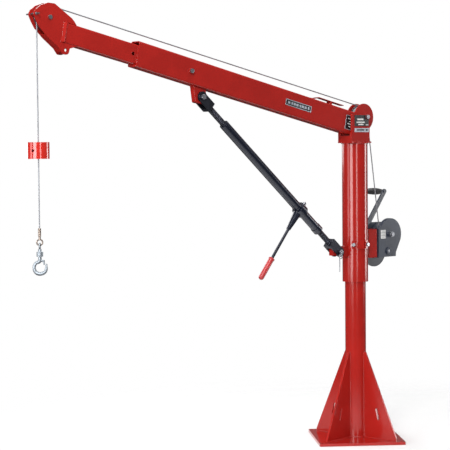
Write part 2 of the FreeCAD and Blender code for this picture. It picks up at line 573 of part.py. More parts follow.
pawl_arm = plate_y("pawl_arm", [[(-158, 862, 6), (-142, 862, 6), (-143, 847, 5), (-159.5, 829), (-163, 833)],
                                ("circle", -150, 855, 8.1)], 4, -42.5)
node("winch_pawl", group("winch_pawl", [pawl_arm]))

# ------------------------------------------------------------------ hook line
DROP_X = HX + dim("rope_radius")
FERRULE_TOP = 986.5
WEIGHT_LOW = 1238.7
weight_high = WEIGHT_LOW + dim("weight_height")


def cable(name, edges):
    # a round rope swept along straight runs and tangent arcs in the mid-plane
    path = Part.Wire([edge.toShape() for edge in edges])
    first = path.OrderedEdges[0]
    start = first.valueAt(first.FirstParameter)
    heading = first.tangentAt(first.FirstParameter)
    section = Part.Wire([Part.makeCircle(dim("rope_dia") / 2, start, heading)])
    solid = path.makePipeShell([section], True, False)
    obj = doc.addObject("Part::Feature", name)
    obj.Shape = solid
    obj.Placement = place()
    expected = math.pi * dim("rope_dia") ** 2 / 4 * path.Length
    print(name, "length", round(path.Length, 1), "volume ratio", round(solid.Volume / expected, 4))
    node(name, obj)
    return path.Length


def on_circle(x, z, radius, angle):
    return V(x + radius * math.cos(angle), 0, z + radius * math.sin(angle))


rope = dim("rope_radius")
coil = dim("drum_coil_radius") + dim("rope_dia") / 2 + 0.4
gap = math.hypot(DX - PX, DZ - PZ)
line = math.atan2(DZ - PZ, DX - PX)
cross = math.acos((rope + coil) / gap)
leave_sheave = line - cross
meet_drum = leave_sheave + math.pi
top_angle = math.atan2(HZ - PZ, HX - PX) + math.pi / 2
sheave_left = on_circle(PX, PZ, rope, leave_sheave)
drum_front = on_circle(DX, DZ, coil, meet_drum)
wrap_end = on_circle(PX, PZ, rope, top_angle)
sweep = (leave_sheave + 2 * math.pi) % (2 * math.pi)
wrap_mid = on_circle(PX, PZ, rope, (sweep + top_angle) / 2)
cable("cable_mast_run", [Part.LineSegment(drum_front, sheave_left), Part.Arc(sheave_left, wrap_mid, wrap_end)])
head_start = on_circle(HX, HZ, rope, top_angle)
cable("cable_boom_run", [Part.LineSegment(wrap_end, head_start)])
cable("cable_head_wrap", [Part.Arc(head_start, on_circle(HX, HZ, rope, top_angle / 2),
                                   on_circle(HX, HZ, rope, 0.0))])
cable("cable_drop", [Part.LineSegment(V(DROP_X, 0, HZ), V(DROP_X, 0, weight_high))])
cable("cable_tail", [Part.LineSegment(V(DROP_X, 0, weight_high), V(DROP_X, 0, FERRULE_TOP - 24))])

weight_blank = cylinder("weight_blank", "weight_dia", "weight_height", (DROP_X, 0, WEIGHT_LOW))
VIEW = ROT(AXIS_Z, math.degrees(math.atan2(0.679, -0.734)))
weight_bore = cylinder("weight_bore", "rope_dia", 80, (DROP_X, 0, WEIGHT_LOW - 5))
weight_slot = box("weight_slot", (1.2, 60, 80), (-12, -60, WEIGHT_LOW - 5))
weight_slot.Placement = FreeCAD.Placement(V(DROP_X, 0, 0), VIEW) * place(-16, -62, WEIGHT_LOW - 5)
weight_hole = cylinder("weight_hole", 10, 30, (0, 0, 0))
weight_hole.Placement = FreeCAD.Placement(V(DROP_X, 0, WEIGHT_LOW + 30), VIEW) * place(-15.5, -20, 0, ROT(AXIS_X, 90))
node("cable_weight", cut("cable_weight", weight_blank, [weight_bore, weight_slot, weight_hole]))

HOOK_AT = FreeCAD.Placement(V(DROP_X, 0, 0), VIEW)
ferrule_body = cylinder("ferrule_body", 11, 29.5, (0, 0, 957))
ferrule_bore = cylinder("ferrule_bore", "rope_dia", 60, (0, 0, 962.5))
thimble_ring = torus("thimble_ring", 10.5, 2.7, (0, 0, 935.5), ROT(AXIS_X, 90))
thimble_neck = cylinder("thimble_neck", 8.5, 14, (0, 0, 944.5))
ferrule_part = cut("ferrule_part", ferrule_body, [ferrule_bore])
node("ferrule", fuse("ferrule", [ferrule_part, thimble_ring, thimble_neck]), HOOK_AT)
eye_ring = torus("eye_ring", 10, 3, (0, 0, 921.8), TO_X)
eye_stem = cylinder("eye_stem", 13, 13, (0, 0, 899))
eye_cup = cylinder("eye_cup", 24, 17, (0, 0, 884))
eye_bore = cylinder("eye_bore", 10.1, 40, (0, 0, 860))
eye_room = cylinder("eye_room", 16, 9, (0, 0, 889))
node("swivel_eye", cut("swivel_eye", fuse("eye_blank", [eye_ring, eye_stem, eye_cup]), [eye_bore, eye_room]),
     HOOK_AT)

HOOK_CZ = 843.0
hook_ring = torus("hook_ring", 18.5, 7.2, (0, 0, HOOK_CZ - 1.5), ROT(AXIS_X, 90))
hook_gap = box("hook_gap", (60, 30, 60), (2, -15, HOOK_CZ + 2), ROT(AXIS_Y, 12))
hook_neck = cylinder("hook_neck", 13, 24, (0, 0, 858))
hook_pin = cylinder("hook_pin", 10, 15, (0, 0, 880.5))
hook_pin_head = cylinder("hook_pin_head", 14, 5, (0, 0, 890.5))
hook_tip = cone("hook_tip", 14, 6, 16, (19, 0, HOOK_CZ - 2), ROT(AXIS_Y, 18))
hook_arc = cut("hook_arc", hook_ring, [hook_gap])
hook_shoulder = box("hook_shoulder", (14, 11, 12), (-8, -5.5, 853))
hook_lug = box("hook_lug", (16, 9, 9), (0, -4.5, 863.5))
hook_latch_pin = cylinder("hook_latch_pin", 3, 15, (13, -7.5, 868), TO_Y)
node("hook", fuse("hook", [hook_arc, hook_neck, hook_pin, hook_pin_head, hook_tip, hook_shoulder, hook_lug,
                           hook_latch_pin]), HOOK_AT)
latch_line = [[(9.5, 871, 2), (16.5, 871, 2), (17.6, 853.5, 1), (14.4, 852.5, 1)], ("circle", 13, 868, 3.1)]
latch_near = plate_y("latch_near", latch_line, 1.4, 6.6)
latch_far = plate_y("latch_far", latch_line, 1.4, -5.2)
latch_bridge = box("latch_bridge", (1.6, 13, 6), (15, -6.5, 853.6))
node("hook_latch", fuse("hook_latch", [latch_near, latch_far, latch_bridge]), HOOK_AT)

# ------------------------------------------------------------------ check and write
doc.recompute()
bad = []
for obj in doc.Objects:
    if "Invalid" in obj.State or "Error" in obj.State:
        bad.append((obj.Name, obj.State))
for obj in nodes:
    if obj.Shape.isNull() or not obj.Shape.isValid():
        bad.append((obj.Label, "shape"))
if bad:
    raise RuntimeError(f"not sound: {bad}")
for obj in nodes:
    obj.Shape.exportStep(os.path.join("parts", obj.Label + ".step"))
    limits = obj.Shape.BoundBox
    print(f"{obj.Label:22s} {len(obj.Shape.Solids):3d} solids {obj.Shape.Volume / 1000:10.1f} cm3  "
          f"X {limits.XMin:8.1f} {limits.XMax:8.1f}  Y {limits.YMin:7.1f} {limits.YMax:7.1f}  "
          f"Z {limits.ZMin:7.1f} {limits.ZMax:7.1f}")
print("boom frame", BOOM, "jib frame", JIB, "strut", strut_angle, strut_length)
print("nodes", len(nodes))
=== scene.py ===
import bpy
import math
import random
from mathutils import Matrix, Vector


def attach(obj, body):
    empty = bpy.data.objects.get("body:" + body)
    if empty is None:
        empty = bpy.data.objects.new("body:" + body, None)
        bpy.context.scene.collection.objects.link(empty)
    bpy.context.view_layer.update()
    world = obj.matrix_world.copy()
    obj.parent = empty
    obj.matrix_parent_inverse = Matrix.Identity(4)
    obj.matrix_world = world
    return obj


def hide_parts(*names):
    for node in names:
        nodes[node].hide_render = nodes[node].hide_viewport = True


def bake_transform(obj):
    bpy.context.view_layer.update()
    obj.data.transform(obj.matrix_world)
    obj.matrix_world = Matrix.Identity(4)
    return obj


# The look of a swivelling jib crane with a hand winch, over the nodes of its CAD frame. In metres: X runs
# from the post to the hook, Y to the side that the camera sees, and Z up from the floor.

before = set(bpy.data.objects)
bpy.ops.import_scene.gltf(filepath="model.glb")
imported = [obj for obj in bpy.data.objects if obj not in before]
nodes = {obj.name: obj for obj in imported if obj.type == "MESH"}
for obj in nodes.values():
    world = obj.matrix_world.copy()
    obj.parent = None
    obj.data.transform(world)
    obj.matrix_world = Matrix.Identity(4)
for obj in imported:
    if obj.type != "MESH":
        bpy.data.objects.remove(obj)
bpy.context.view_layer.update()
random.seed(7)
scene = bpy.context.scene

WORLD_X = Vector((1, 0, 0))
WORLD_Y = Vector((0, 1, 0))
WORLD_Z = Vector((0, 0, 1))


def tilted(angle):
    # the directions along and across a part that rises by angle in the X-Z plane
    along = Vector((math.cos(angle), 0, math.sin(angle)))
    across = Vector((-math.sin(angle), 0, math.cos(angle)))
    return along, across


# ------------------------------------------------------------- main points and directions
PIVOT = Vector((-0.0347, 0, 1.3999))
HEAD = Vector((1.642, 0, 1.7515))
DRUM = Vector((-0.191, 0, 0.8855))
CRANK_TIP = Vector((-0.376, 0, 1.066))
STRUT_FOOT = Vector((0.115, 0, 0.822))
JIB_MOUTH = Vector((1.23541, 0, 1.62832))
BOOM_X, BOOM_Z = tilted(math.radians(12.2))
JIB_X, JIB_Z = tilted(math.radians(11.7))
STRUT_AXIS, STRUT_UP = tilted(math.radians(39.648))

# ------------------------------------------------------------- camera
AZIMUTH = math.radians(42.78)
PITCH = math.radians(2.79)
ROLL = math.radians(-0.49)
EYE_DISTANCE = 6.9869
EYE_ASIDE = -0.56482
EYE_HEIGHT = 1.2777
FOCAL_LENGTH = 128.87
SENSOR_WIDTH = 36.0


def make_camera():
    toward = Vector((math.sin(AZIMUTH), math.cos(AZIMUTH), 0))
    right = Vector((-math.cos(AZIMUTH), math.sin(AZIMUTH), 0))
    eye = toward * EYE_DISTANCE + right * EYE_ASIDE + WORLD_Z * EYE_HEIGHT
    back = toward * math.cos(PITCH) + WORLD_Z * math.sin(PITCH)
    lift = WORLD_Z * math.cos(PITCH) - toward * math.sin(PITCH)
    view_x = right * math.cos(ROLL) + lift * math.sin(ROLL)
    view_y = -right * math.sin(ROLL) + lift * math.cos(ROLL)
    data = bpy.data.cameras.new("camera")
    data.lens = FOCAL_LENGTH
    data.sensor_width = SENSOR_WIDTH
    data.sensor_fit = "HORIZONTAL"
    camera = bpy.data.objects.new("camera", data)
    scene.collection.objects.link(camera)
    camera.matrix_world = Matrix((
        (view_x.x, view_y.x, back.x, eye.x),
        (view_x.y, view_y.y, back.y, eye.y),
        (view_x.z, view_y.z, back.z, eye.z),
        (0, 0, 0, 1)))
    scene.camera = camera
    scene.view_settings.view_transform = "Standard"


make_camera()

# ------------------------------------------------------------- material helpers
SOFT_EDGE = 0.0012
SKIN_HEIGHT = 0.002
COAT_ROUGHNESS = 0.04
LEAST_ROUGHNESS = 0.02
TONE_SCALE = 9.0
WEAR_SCALE = 34.0
RAMP_ENDS = (0.4, 0.6)


def start_material(name):
    # a shader whose normal comes from softened edges and then from a bump
    mat = bpy.data.materials.new(name)
    mat.use_nodes = True
    tree = mat.node_tree
    bsdf = tree.nodes["Principled BSDF"]
    coords = tree.nodes.new("ShaderNodeTexCoord")
    bevel = tree.nodes.new("ShaderNodeBevel")
    bevel.inputs["Radius"].default_value = SOFT_EDGE
    bump = tree.nodes.new("ShaderNodeBump")
    tree.links.new(bevel.outputs["Normal"], bump.inputs["Normal"])
    tree.links.new(bump.outputs["Normal"], bsdf.inputs["Normal"])
    return mat, tree, bsdf, coords, bump


def noise(tree, coords, scale, detail=3.0):
    texture = tree.nodes.new("ShaderNodeTexNoise")
    texture.inputs["Scale"].default_value = scale
    texture.inputs["Detail"].default_value = detail
    tree.links.new(coords.outputs["Object"], texture.inputs["Vector"])
    return texture.outputs["Fac"]


def map_range(tree, value, from_min, from_max, to_min, to_max):
    made = tree.nodes.new("ShaderNodeMapRange")
    made.inputs["From Min"].default_value = from_min
    made.inputs["From Max"].default_value = from_max
    made.inputs["To Min"].default_value = to_min
    made.inputs["To Max"].default_value = to_max
    tree.links.new(value, made.inputs["Value"])
    return made


def calculate(tree, operation, first, second=None):
    # one operation on a value; second is a number or another node's value
    made = tree.nodes.new("ShaderNodeMath")
    made.operation = operation
    tree.links.new(first, made.inputs[0])
    if isinstance(second, float):
        made.inputs[1].default_value = second
    elif second is not None:
        tree.links.new(second, made.inputs[1])
    return made.outputs["Value"]


def colour_mix(tree, bsdf, factor, dark, light):
    ramp = tree.nodes.new("ShaderNodeValToRGB")
    for i, colour in enumerate((dark, light)):
        ramp.color_ramp.elements[i].position = RAMP_ENDS[i]
        ramp.color_ramp.elements[i].color = (*colour, 1)
    tree.links.new(factor, ramp.inputs["Fac"])
    tree.links.new(ramp.outputs["Color"], bsdf.inputs["Base Color"])


def surface(name, colour, rough, metal=0.0, coat=0.0, grain=40.0, depth=0.02, spread=0.12,
            rough_spread=0.06, gloss=0.5):
    # a finish whose colour drifts by spread and its roughness by rough_spread, over a fine grain
    mat, tree, bsdf, coords, bump = start_material(name)
    bsdf.inputs["Metallic"].default_value = metal
    bsdf.inputs["Specular IOR Level"].default_value = gloss
    bsdf.inputs["Coat Weight"].default_value = coat
    bsdf.inputs["Coat Roughness"].default_value = COAT_ROUGHNESS
    dark = [channel * (1 - spread) for channel in colour]
    light = [min(1.0, channel * (1 + spread)) for channel in colour]
    colour_mix(tree, bsdf, noise(tree, coords, TONE_SCALE), dark, light)
    least = max(LEAST_ROUGHNESS, rough - rough_spread)
    wear = map_range(tree, noise(tree, coords, WEAR_SCALE, 5.0), 0.0, 1.0, least, rough + rough_spread)
    tree.links.new(wear.outputs["Result"], bsdf.inputs["Roughness"])
    tree.links.new(noise(tree, coords, grain, 2.0), bump.inputs["Height"])
    bump.inputs["Strength"].default_value = depth
    bump.inputs["Distance"].default_value = SKIN_HEIGHT
    return mat


SCREW_COLOUR = (0.03, 0.032, 0.045)
SCREW_SHADE = 0.7
SCREW_METAL = 0.75
SCREW_ROUGHNESS = 0.34
SCREW_GRAIN = 30.0
THREAD_PITCH = 0.004
THREAD_HEIGHT = 0.0012
THREAD_STRENGTH = 0.8


def threaded(name, first, last):
    # a dark finish with a screw thread from first to last, measured up the strut from its foot
    mat, tree, bsdf, coords, bump = start_material(name)
    bsdf.inputs["Metallic"].default_value = SCREW_METAL
    bsdf.inputs["Roughness"].default_value = SCREW_ROUGHNESS
    shaded = [channel * SCREW_SHADE for channel in SCREW_COLOUR]
    colour_mix(tree, bsdf, noise(tree, coords, SCREW_GRAIN), shaded, SCREW_COLOUR)
    away = tree.nodes.new("ShaderNodeVectorMath")
    away.operation = "SUBTRACT"
    away.inputs[1].default_value = STRUT_FOOT
    tree.links.new(coords.outputs["Object"], away.inputs[0])
    project = tree.nodes.new("ShaderNodeVectorMath")
    project.operation = "DOT_PRODUCT"
    project.inputs[1].default_value = STRUT_AXIS
    tree.links.new(away.outputs["Vector"], project.inputs[0])
    along = project.outputs["Value"]
    wave = calculate(tree, "SINE", calculate(tree, "MULTIPLY", along, 2 * math.pi / THREAD_PITCH))
    above = calculate(tree, "GREATER_THAN", along, first)
    below = calculate(tree, "LESS_THAN", along, last)
    ridge = calculate(tree, "MULTIPLY", wave, calculate(tree, "MULTIPLY", above, below))
    tree.links.new(ridge, bump.inputs["Height"])
    bump.inputs["Strength"].default_value = THREAD_STRENGTH
    bump.inputs["Distance"].default_value = THREAD_HEIGHT
    return mat


# ------------------------------------------------------------- materials
RED = (0.34, 0.0125, 0.009)
red_paint = surface("red_paint", RED, 0.15, coat=0.1, grain=60, depth=0.004, spread=0.05,
                    rough_spread=0.03, gloss=0.4)
red_weight = surface("red_weight", (0.52, 0.020, 0.012), 0.14, coat=0.4, grain=25, depth=0.008,
                     spread=0.04, rough_spread=0.03)
navy = surface("navy_finish", (0.011, 0.014, 0.027), 0.24, metal=0.3, coat=0.5, grain=180, depth=0.05)
slate = surface("slate_enamel", (0.026, 0.033, 0.052), 0.30, coat=0.2, grain=120, depth=0.05)
blue_grey = surface("disc_enamel", (0.06, 0.07, 0.09), 0.35, coat=0.2, grain=120, depth=0.04)
pale_zinc = surface("hook_zinc", (0.36, 0.40, 0.44), 0.50, metal=0.75, grain=150, depth=0.06)
zinc = surface("zinc_plate", (0.36, 0.37, 0.40), 0.36, metal=1.0, grain=150, depth=0.06)
cast = surface("sheave_metal", (0.20, 0.20, 0.215), 0.38, metal=0.9, grain=90, depth=0.1)
wire = surface("wire_rope", (0.31, 0.32, 0.345), 0.50, metal=0.6, grain=420, depth=0.25)
copper = surface("ferrule_metal", (0.30, 0.245, 0.21), 0.32, metal=1.0, grain=120, depth=0.1)
black_film = surface("black_film", (0.012, 0.012, 0.014), 0.28, grain=300, depth=0.02)
silver_film = surface("silver_film", (0.46, 0.50, 0.56), 0.30, metal=0.5, grain=300, depth=0.02)
white_film = surface("white_film", (0.72, 0.72, 0.70), 0.35, grain=300, depth=0.02)
nylon = surface("nylon", (0.62, 0.60, 0.55), 0.5, grain=60, depth=0.05)
grip_red = surface("grip_vinyl", (0.42, 0.025, 0.028), 0.30, coat=0.3, grain=200, depth=0.15)
grip_black = surface("grip_black", (0.014, 0.014, 0.016), 0.42, grain=260, depth=0.2)
weld_red = surface("weld_paint", RED, 0.25, coat=0.5, grain=420, depth=0.6, spread=0.08)
screw_low = threaded("screw_low", 0.067, 0.30)
screw_high = threaded("screw_high", 0.70, 0.954)

FINISHES = {
    red_paint: "base_plate base_gussets mast_tube column_sleeve head_plate pivot_cheeks front_web "
               "column_strut_lug swivel_lock_bosses winch_bracket outer_boom_tube tail_plates "
               "cable_guard boom_strut_lug inner_boom_tube head_cheeks boom_wear_pad",
    red_weight: "cable_weight",
    navy: "strut_barrel ratchet_side_rings ratchet_handle",
    screw_low: "strut_lower_fork",
    screw_high: "strut_upper_fork",
    slate: "winch_frame gear_cover cable_drum crank_arm",
    blue_grey: "brake_disc",
    zinc: "pivot_bolt lower_strut_pin swivel_lock_bolt_1 swivel_lock_bolt_2 extension_lock_bolt "
          "head_axle_bolt cable_keeper upper_strut_pin pawl_knob drum_axle pinion_shaft winch_pawl "
          "drum_gear",
    pale_zinc: "swivel_eye hook_latch hook",
    cast: "rear_sheave head_sheave",
    wire: "wound_cable cable_mast_run cable_boom_run cable_head_wrap cable_drop cable_tail",
    copper: "ferrule",
    black_film: "boom_labels column_labels",
    nylon: "swivel_bushes",
    grip_red: "handle_grip",
    grip_black: "crank_grip",
}
for finish, node_names in FINISHES.items():
    for node_name in node_names.split():
        node_mesh = nodes[node_name].data
        node_mesh.materials.clear()
        node_mesh.materials.append(finish)


# ------------------------------------------------------------- piece helpers
def add_piece(name, data, mat, body):
    # a piece made without a body is left unattached
    data.materials.clear()
    data.materials.append(mat)
    obj = bpy.data.objects.new(name, data)
    scene.collection.objects.link(obj)
    if body is not None:
        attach(obj, body)
    return obj


def add_mesh(name, verts, faces, mat, body, smooth=True):
    data = bpy.data.meshes.new(name)
    data.from_pydata([tuple(v) for v in verts], [], faces)
    data.update()
    if smooth:
        data.shade_smooth()
    return add_piece(name, data, mat, body)


def bar(name, points, radius, mat, body=None, weights=None, sizes=None, resolution=10):
    # a round bar along a smooth spline, as a mesh; sizes scale the radius from point to point
    curve = bpy.data.curves.new(name, "CURVE")
    curve.dimensions = "3D"
    curve.bevel_depth = radius
    curve.bevel_resolution = 5
    curve.use_fill_caps = True
    curve.resolution_u = resolution
    spline = curve.splines.new("NURBS")
    spline.points.add(len(points) - 1)
    for i, point in enumerate(points):
        weight = weights[i] if weights else 1.0
        spline.points[i].co = (*point, weight)
        spline.points[i].radius = sizes[i] if sizes else 1.0
    spline.order_u = 3
    spline.use_endpoint_u = True
    source = bpy.data.objects.new(name + "_line", curve)
    scene.collection.objects.link(source)
    bpy.context.view_layer.update()
    depsgraph = bpy.context.evaluated_depsgraph_get()
    data = bpy.data.meshes.new_from_object(source.evaluated_get(depsgraph))
    bpy.data.objects.remove(source)
    data.name = name
    data.shade_smooth()
    return add_piece(name, data, mat, body)


def lathe(name, origin, axis, profile, mat, body, sides=48):
    # a turned piece; each point of the profile is (distance along the axis, radius)
    axis = Vector(axis).normalized()
    side = axis.orthogonal().normalized()
    other = axis.cross(side)
    verts = []
    for along, radius in profile:
        for i in range(sides):
            turn = 2 * math.pi * i / sides
            spoke = side * math.cos(turn) + other * math.sin(turn)
            verts.append(Vector(origin) + axis * along + spoke * radius)
    faces = []
    for ring in range(len(profile) - 1):
        low = ring * sides
        high = low + sides
        for i in range(sides):
            j = (i + 1) % sides
            faces.append((low + i, low + j, high + j, high + i))
    faces.append(tuple(reversed(range(sides))))
    faces.append(tuple(range((len(profile) - 1) * sides, len(profile) * sides)))
    return add_mesh(name, verts, faces, mat, body)


# ------------------------------------------------------------- wire rope
ROPE = 0.0024
PITCH_RADIUS = 0.0452
COIL_RADIUS = 0.0312
DROP_X = HEAD.x + PITCH_RADIUS
DROP_END = 1.2991
DROP_STEPS = 8
BOOM_STEPS = 12
WRAP_STEPS = 24
TAIL_HEIGHTS = (1.2995, 1.13, 0.9625)


def on_circle(centre, radius, angle):
    return centre + Vector((math.cos(angle), 0, math.sin(angle))) * radius


def wrap_corner(centre, first, last):
    # the middle control point, and its weight, of a true arc round a sheave
    half = (last - first) / 2
    return on_circle(centre, PITCH_RADIUS / math.cos(half), first + half), math.cos(half)


to_drum = DRUM - PIVOT
to_head = HEAD - PIVOT
lean = math.acos((PITCH_RADIUS + COIL_RADIUS) / to_drum.length)
leave = math.atan2(to_drum.z, to_drum.x) - lean
top = math.atan2(to_head.z, to_head.x) + math.pi / 2
sheave_left = on_circle(PIVOT, PITCH_RADIUS, leave)
drum_front = on_circle(DRUM, COIL_RADIUS, leave + math.pi)
boom_start = on_circle(PIVOT, PITCH_RADIUS, top)
boom_end = on_circle(HEAD, PITCH_RADIUS, top)

mast_points = [drum_front, drum_front.lerp(sheave_left, 0.5), sheave_left]
mast_run = bar("rope_mast_run", mast_points, ROPE, wire, "column")
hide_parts("cable_mast_run")

corner, share = wrap_corner(PIVOT, leave + 2 * math.pi, top)
rear_wrap = bar("rope_rear_wrap", [sheave_left, corner, boom_start], ROPE, wire,
                weights=[1, share, 1], resolution=WRAP_STEPS)
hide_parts("cable_mast_run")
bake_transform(rear_wrap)

boom_points = [boom_start.lerp(boom_end, i / BOOM_STEPS) for i in range(BOOM_STEPS + 1)]
boom_run = bar("rope_boom_run", boom_points, ROPE, wire, resolution=4)
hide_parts("cable_boom_run")
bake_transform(boom_run)

corner, share = wrap_corner(HEAD, top, 0.0)
head_wrap = bar("rope_head_wrap", [boom_end, corner, (DROP_X, 0, HEAD.z)], ROPE, wire,
                weights=[1, share, 1], resolution=WRAP_STEPS)
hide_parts("cable_head_wrap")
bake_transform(head_wrap)

drop_points = [(DROP_X, 0, HEAD.z + (DROP_END - HEAD.z) * i / DROP_STEPS) for i in range(DROP_STEPS + 1)]
drop_run = bar("rope_drop", drop_points, ROPE, wire, resolution=4)
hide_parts("cable_drop")
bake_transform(drop_run)

tail_points = [(DROP_X, 0, height) for height in TAIL_HEIGHTS]
tail_run = bar("rope_tail", tail_points, ROPE, wire, "load")
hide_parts("cable_tail")

# ------------------------------------------------------------- hook
HOOK_ALONG = Vector((-0.734, 0.679, 0)).normalized()
HOOK_ACROSS = Vector((-HOOK_ALONG.y, HOOK_ALONG.x, 0))
HOOK_RADIUS = 0.0062
# (distance along HOOK_ALONG, height, thickness as a share of HOOK_RADIUS), from the shank to the tip
HOOK_LINE = [(0, 0.8835, 1.05), (0, 0.872, 1.05), (-0.002, 0.864, 1.1), (-0.014, 0.862, 1.0),
             (-0.0215, 0.850, 0.98), (-0.021, 0.833, 1.05), (-0.010, 0.8215, 1.15),
             (0.004, 0.8205, 1.15), (0.018, 0.826, 1.05), (0.0235, 0.839, 0.9), (0.0225, 0.849, 0.7),
             (0.0245, 0.857, 0.4)]
PIN_FOOT = 0.880
SWIVEL_PIN = [(0.0, 0.0065), (0.001, 0.005), (0.0105, 0.005), (0.0106, 0.0068), (0.0148, 0.0068),
              (0.0154, 0.006)]
LATCH_ALONG = 0.013
LATCH_HEIGHT = 0.868
LATCH_LUG_START = -0.0044
LATCH_LUG = [(0.0, 0.0035), (0.0005, 0.0042), (0.0083, 0.0042), (0.0088, 0.0035)]
LATCH_RIVET_START = -0.0078
LATCH_RIVET = [(0.0, 0.0022), (0.0006, 0.0028), (0.0010, 0.0014), (0.0146, 0.0014), (0.0150, 0.0028),
               (0.0156, 0.0022)]
LUG_WEB = (0.001, 0.006, 0.011)
LUG_WEB_RADIUS = 0.0040


def hook_point(along, height, out=0.0):
    return Vector((DROP_X, 0, height)) + HOOK_ALONG * along + HOOK_ACROSS * out


def make_hook():
    line = [hook_point(along, height) for along, height, size in HOOK_LINE]
    sizes = [size for along, height, size in HOOK_LINE]
    hook_body = bar("hook_forging", line, HOOK_RADIUS, pale_zinc, "hook", sizes=sizes,
                    resolution=12)
    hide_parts("hook")
    lathe("hook_swivel_pin", hook_point(0, PIN_FOOT), WORLD_Z, SWIVEL_PIN, pale_zinc, "hook")
    lug_start = hook_point(LATCH_ALONG, LATCH_HEIGHT, LATCH_LUG_START)
    lathe("hook_latch_lug", lug_start, HOOK_ACROSS, LATCH_LUG, pale_zinc, "hook")
    rivet_start = hook_point(LATCH_ALONG, LATCH_HEIGHT, LATCH_RIVET_START)
    lathe("hook_latch_rivet", rivet_start, HOOK_ACROSS, LATCH_RIVET, pale_zinc, "hook", 20)
    web = [hook_point(along, LATCH_HEIGHT) for along in LUG_WEB]
    bar("hook_lug_web", web, LUG_WEB_RADIUS, pale_zinc, "hook")


make_hook()

# ------------------------------------------------------------- grips
CRANK_GRIP_END = -0.282
CRANK_GRIP = [(0.0, 0.0085), (0.0015, 0.0100), (0.012, 0.0118), (0.030, 0.0142), (0.048, 0.0153),
              (0.066, 0.0153), (0.082, 0.0138), (0.096, 0.0112), (0.105, 0.0096), (0.1075, 0.0088),
              (0.109, 0.0078)]
HANDLE_UP_STRUT = 0.297
HANDLE_REACH = 0.2565
COLLAR = [(0.0, 0.0100), (0.0012, 0.0134), (0.0045, 0.0134), (0.006, 0.0112)]
RIB = [(0.0, 0.0116), (0.0026, 0.0116), (0.0036, 0.0108), (0.0051, 0.0108)]
RIB_COUNT = 14
FIRST_RIB = 0.009
RIB_PITCH = 0.0061
ROUND_END = [(0.096, 0.0115), (0.101, 0.0104), (0.1045, 0.0078), (0.1065, 0.0040)]


def crank_grip():
    grip = lathe("crank_grip_turned", CRANK_TIP + WORLD_Y * CRANK_GRIP_END, WORLD_Y, CRANK_GRIP,
                 grip_black, "crank_grip")
    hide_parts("crank_grip")


def handle_grip():
    # ribbed vinyl on the ratchet handle, which hangs down square to the strut
    profile = list(COLLAR)
    for k in range(RIB_COUNT):
        start = FIRST_RIB + k * RIB_PITCH
        profile += [(start + along, radius) for along, radius in RIB]
    profile += ROUND_END
    grip_at = STRUT_FOOT + STRUT_AXIS * HANDLE_UP_STRUT - STRUT_UP * HANDLE_REACH
    vinyl = lathe("handle_grip_ribbed", grip_at, -STRUT_UP, profile, grip_red, "ratchet_lever")
    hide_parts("handle_grip")


crank_grip()
handle_grip()

# ------------------------------------------------------------- weld beads
BEAD = 0.0022
CHEEK_BEAD = 0.0018
BEAD_STEP = 0.004
GUSSET_TURN = 6.84
GUSSET_CLEAR = 7
GUSSET_SIDE = 0.0046
GUSSET_FOOT = (0.047, 0.211)
GUSSET_FOOT_HEIGHT = 0.0130
GUSSET_RISE = (0.016, 0.380)
MAST_WELD = 0.0455
MAST_WELD_HEIGHT = 0.0132
HEAD_WELD = 0.0562
HEAD_WELD_HEIGHT = 1.2868
CHEEK_ENDS = (-0.049, 0.058)
CHEEK_SIDE = 0.0416
CHEEK_HEIGHT = 1.2950


def bead(name, points, body, radius=BEAD):
    # a weld along the points, uneven in thickness
    points = [Vector(point) for point in points]
    reached = [0.0]
    for a, b in zip(points, points[1:]):
        reached.append(reached[-1] + (b - a).length)
    count = max(3, int(reached[-1] / BEAD_STEP))
    line = []
    for i in range(count + 1):
        want = reached[-1] * i / count
        for k in range(len(points) - 1):
            if want <= reached[k + 1] + 1e-9:
                part = (want - reached[k]) / max(1e-9, reached[k + 1] - reached[k])
                line.append(points[k].lerp(points[k + 1], part))
                break
    sizes = [0.85 + 0.3 * random.random() for _ in line]
    bar(name, line, radius, weld_red, body, sizes=sizes, resolution=3)


def arc_points(radius, first, last, height, steps=40):
    # points round the axis of the post, from first to last in degrees
    points = []
    for i in range(steps + 1):
        turn = math.radians(first + (last - first) * i / steps)
        points.append((radius * math.cos(turn), radius * math.sin(turn), height))
    return points


def gusset_welds(k, angle):
    # along the foot and up the post, on both sides of one gusset
    turn = math.radians(angle)
    outward = Vector((math.cos(turn), math.sin(turn), 0))
    beside = Vector((-outward.y, outward.x, 0))
    for side in (-1, 1):
        offset = beside * GUSSET_SIDE * side
        foot = [outward * reach + offset + WORLD_Z * GUSSET_FOOT_HEIGHT for reach in GUSSET_FOOT]
        bead(f"weld_gusset_{k}_{side + 1}", foot, "base")
        rise = [outward * MAST_WELD + offset + WORLD_Z * height for height in GUSSET_RISE]
        bead(f"weld_fin_{k}_{side + 1}", rise, "base")


for k in range(4):
    angle = GUSSET_TURN + 90 * k
    quarter = arc_points(MAST_WELD, angle + GUSSET_CLEAR, angle + 90 - GUSSET_CLEAR, MAST_WELD_HEIGHT)
    bead(f"weld_mast_{k}", quarter, "base")
    gusset_welds(k, angle)
bead("weld_head", arc_points(HEAD_WELD, 0, 360, HEAD_WELD_HEIGHT, 90), "column")
for tag, side in (("f", -1), ("n", 1)):
    line = [(x, CHEEK_SIDE * side, CHEEK_HEIGHT) for x in CHEEK_ENDS]
    bead(f"weld_cheek_{tag}", line, "column", CHEEK_BEAD)

